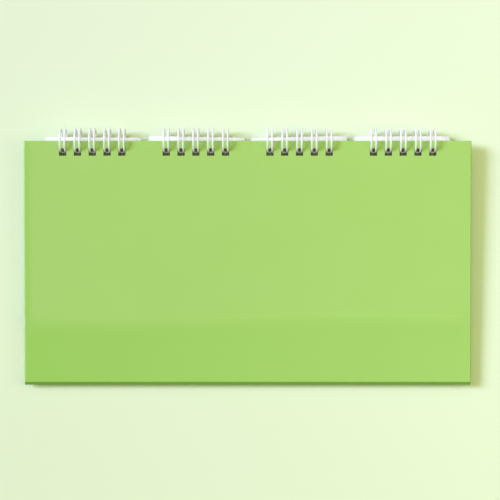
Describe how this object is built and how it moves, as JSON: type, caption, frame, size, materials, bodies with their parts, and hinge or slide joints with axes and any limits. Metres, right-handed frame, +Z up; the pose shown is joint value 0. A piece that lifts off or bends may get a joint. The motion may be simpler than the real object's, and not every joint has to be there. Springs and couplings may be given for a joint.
{
  "type": "wire-bound day counter",
  "caption": "Flip day counter: packs of number cards on twin-loop wires along the top of a wrapped-board stand that folds flat.",
  "frame": {"origin": "centre of the bounding box on the surface the counter lies on", "axes": "+X across the panel, +Y towards the wire, +Z up out of the back panel as the counter lies cards down"},
  "size_m": [0.256, 0.1472, 0.0143],
  "materials": {
    "cover": "laminated green cover paper",
    "lining": "uncoated pale green lining paper",
    "board": "grey board",
    "card": "smooth white card",
    "wire": "white nylon-coated steel wire"
  },
  "bodies": {
    "front_panel": {"front_board": "board", "front_cover": "cover", "front_lining": "lining", "wire_1": "wire", "wire_2": "wire", "wire_3": "wire", "wire_4": "wire"},
    "back_panel": {"back_board": "board", "back_cover": "cover", "back_lining": "lining"},
    "base_rear": {"base_rear_board": "board", "base_rear_cover": "cover", "base_rear_lining": "lining"},
    "base_front": {"base_front_board": "board", "base_front_cover": "cover", "base_front_lining": "lining"},
    "pack1_block": {"pack1_card_02": "card", "pack1_card_03": "card", "pack1_card_04": "card", "pack1_card_05": "card", "pack1_card_06": "card", "pack1_card_07": "card", "pack1_card_08": "card", "pack1_card_09": "card", "pack1_card_10": "card"},
    "pack1_leaf": {"pack1_leaf": "card"},
    "pack2_block": {"pack2_card_02": "card", "pack2_card_03": "card", "pack2_card_04": "card", "pack2_card_05": "card", "pack2_card_06": "card", "pack2_card_07": "card", "pack2_card_08": "card", "pack2_card_09": "card", "pack2_card_10": "card"},
    "pack2_leaf": {"pack2_leaf": "card"},
    "pack3_block": {"pack3_card_02": "card", "pack3_card_03": "card", "pack3_card_04": "card", "pack3_card_05": "card", "pack3_card_06": "card", "pack3_card_07": "card", "pack3_card_08": "card", "pack3_card_09": "card", "pack3_card_10": "card"},
    "pack3_leaf": {"pack3_leaf": "card"},
    "pack4_block": {"pack4_card_02": "card", "pack4_card_03": "card", "pack4_card_04": "card", "pack4_card_05": "card", "pack4_card_06": "card", "pack4_card_07": "card", "pack4_card_08": "card", "pack4_card_09": "card", "pack4_card_10": "card"},
    "pack4_leaf": {"pack4_leaf": "card"}
  },
  "joints": [
    {"name": "stand_open", "type": "hinge", "parent": "front_panel", "child": "back_panel", "pos_m": [0, 0.06649, 0.00715], "axis": [-1, 0, 0], "range_deg": [0, 38.93]},
    {"name": "rear_crease", "type": "hinge", "parent": "back_panel", "child": "base_rear", "pos_m": [0, -0.03692, 0.00775], "axis": [1, 0, 0], "range_deg": [0, 109]},
    {"name": "bottom_fold", "type": "hinge", "parent": "base_rear", "child": "base_front", "pos_m": [0, -0.07364, 0.00426], "axis": [-1, 0, 0], "range_deg": [0, 180]},
    {"name": "pack1_block_flip", "type": "hinge", "parent": "front_panel", "child": "pack1_block", "pos_m": [0, 0.06649, 0.00715], "axis": [1, 0, 0], "range_deg": [0, 60]},
    {"name": "pack1_leaf_flip", "type": "hinge", "parent": "pack1_block", "child": "pack1_leaf", "pos_m": [0, 0.06649, 0.00715], "axis": [1, 0, 0], "range_deg": [0, 90]},
    {"name": "pack2_block_flip", "type": "hinge", "parent": "front_panel", "child": "pack2_block", "pos_m": [0, 0.06649, 0.00715], "axis": [1, 0, 0], "range_deg": [0, 60]},
    {"name": "pack2_leaf_flip", "type": "hinge", "parent": "pack2_block", "child": "pack2_leaf", "pos_m": [0, 0.06649, 0.00715], "axis": [1, 0, 0], "range_deg": [0, 90]},
    {"name": "pack3_block_flip", "type": "hinge", "parent": "front_panel", "child": "pack3_block", "pos_m": [0, 0.06649, 0.00715], "axis": [1, 0, 0], "range_deg": [0, 60]},
    {"name": "pack3_leaf_flip", "type": "hinge", "parent": "pack3_block", "child": "pack3_leaf", "pos_m": [0, 0.06649, 0.00715], "axis": [1, 0, 0], "range_deg": [0, 90]},
    {"name": "pack4_block_flip", "type": "hinge", "parent": "front_panel", "child": "pack4_block", "pos_m": [0, 0.06649, 0.00715], "axis": [1, 0, 0], "range_deg": [0, 60]},
    {"name": "pack4_leaf_flip", "type": "hinge", "parent": "pack4_block", "child": "pack4_leaf", "pos_m": [0, 0.06649, 0.00715], "axis": [1, 0, 0], "range_deg": [0, 90]}
  ],
  "couplings": [
    {"joint": "rear_crease", "follows": "stand_open", "ratio": 2.7997},
    {"joint": "bottom_fold", "follows": "stand_open", "ratio": 4.6234}
  ]
}
